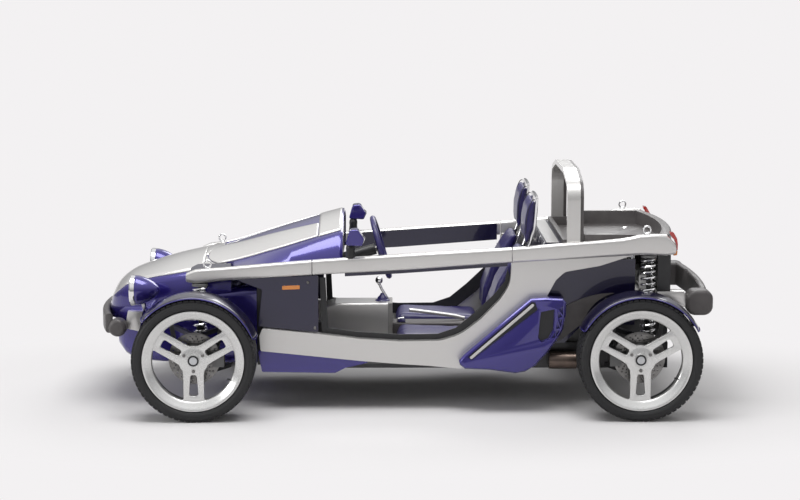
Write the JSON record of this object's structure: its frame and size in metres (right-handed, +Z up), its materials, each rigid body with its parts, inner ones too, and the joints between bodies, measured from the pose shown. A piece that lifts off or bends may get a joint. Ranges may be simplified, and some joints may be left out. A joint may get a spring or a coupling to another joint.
{
  "type": "open two-seat sports car",
  "caption": "Light open two-seater with outer side rails, cycle fenders, roll hoop, load tray and wheels that steer and roll.",
  "frame": {"origin": "on the floor, under the middle of the car's length and width", "axes": "+X towards the tail, +Y towards the car's right side, +Z up"},
  "size_m": [3.2089, 1.6, 1.232],
  "materials": {
    "black_plastic": "fine grain",
    "cast_metal": "as cast",
    "chrome": "polished",
    "dark_metal": "satin",
    "grey_plastic": "fine grain",
    "lens_clear": "clear",
    "lens_red": "clear over red",
    "purple": "gloss metallic paint",
    "purple_trim": "grained",
    "silver": "satin metallic paint",
    "spring_steel": "satin",
    "tyre": "matt",
    "wheel_silver": "satin"
  },
  "bodies": {
    "chassis": {"bumper_brackets": "silver", "bumper_front": "grey_plastic", "bumper_rear": "grey_plastic", "centre_tunnel": "grey_plastic", "coil_springs": "spring_steel", "dashboard": "black_plastic", "door_liners": "black_plastic", "engine_block": "cast_metal", "exhaust": "chrome", "filler_cap": "silver", "floor_tub": "dark_metal", "front_side_panels": "purple", "gear_lever": "chrome", "headlamp_bezels": "chrome", "headlamp_lenses": "lens_clear", "headlamp_shells": "purple", "hood_blades": "silver", "hood_body": "purple", "lift_eyes": "chrome", "mirrors": "purple", "nose_body": "purple", "nose_cover": "silver", "quarter_panels": "grey_plastic", "rail_trims": "purple", "rear_bulkhead": "dark_metal", "rear_fenders": "purple", "rear_side_panels": "purple", "rear_subframe": "dark_metal", "rear_tray": "grey_plastic", "rear_uprights": "cast_metal", "roll_hoop": "silver", "roll_hoop_backing": "grey_plastic", "seat_cushions": "purple_trim", "seat_frames": "chrome", "side_pod_bars": "silver", "side_pods": "purple", "side_rail_left": "silver", "side_rail_right": "silver", "side_skirts": "purple", "sill_frame_left": "silver", "sill_frame_right": "silver", "steering_column": "black_plastic", "suspension_arms": "dark_metal", "tail_lamps": "lens_red"},
    "wheel_front_left": {"rim_front_left": "wheel_silver", "tyre_front_left": "tyre"},
    "wheel_front_right": {"rim_front_right": "wheel_silver", "tyre_front_right": "tyre"},
    "wheel_rear_left": {"rim_rear_left": "wheel_silver", "tyre_rear_left": "tyre"},
    "wheel_rear_right": {"rim_rear_right": "wheel_silver", "tyre_rear_right": "tyre"},
    "steered_left": {"knuckle_front_left": "cast_metal", "fender_front_left": "purple"},
    "steered_right": {"knuckle_front_right": "cast_metal", "fender_front_right": "purple"},
    "steering_wheel": {"steering_wheel": "purple_trim"}
  },
  "joints": [
    {"name": "steer_left", "type": "hinge", "parent": "chassis", "child": "steered_left", "pos_m": [-1.0595, -0.62, 0.314], "axis": [0, 0, 1], "range_deg": [-30, 30]},
    {"name": "steer_right", "type": "hinge", "parent": "chassis", "child": "steered_right", "pos_m": [-1.0595, 0.62, 0.314], "axis": [0, 0, 1], "range_deg": [-30, 30]},
    {"name": "roll_front_left", "type": "hinge", "parent": "steered_left", "child": "wheel_front_left", "pos_m": [-1.0595, -0.6975, 0.314], "axis": [0, 1, 0], "continuous": true},
    {"name": "roll_front_right", "type": "hinge", "parent": "steered_right", "child": "wheel_front_right", "pos_m": [-1.0595, 0.6975, 0.314], "axis": [0, 1, 0], "continuous": true},
    {"name": "roll_rear_left", "type": "hinge", "parent": "chassis", "child": "wheel_rear_left", "pos_m": [1.2005, -0.6975, 0.314], "axis": [0, 1, 0], "continuous": true},
    {"name": "roll_rear_right", "type": "hinge", "parent": "chassis", "child": "wheel_rear_right", "pos_m": [1.2005, 0.6975, 0.314], "axis": [0, 1, 0], "continuous": true},
    {"name": "steering_wheel_turn", "type": "hinge", "parent": "chassis", "child": "steering_wheel", "pos_m": [-0.1125, -0.3, 0.824], "axis": [0.9613, 0, 0.2756], "range_deg": [-420, 420]}
  ],
  "couplings": [
    {"joint": "steer_right", "follows": "steer_left", "ratio": 1},
    {"joint": "steering_wheel_turn", "follows": "steer_left", "ratio": 14}
  ]
}
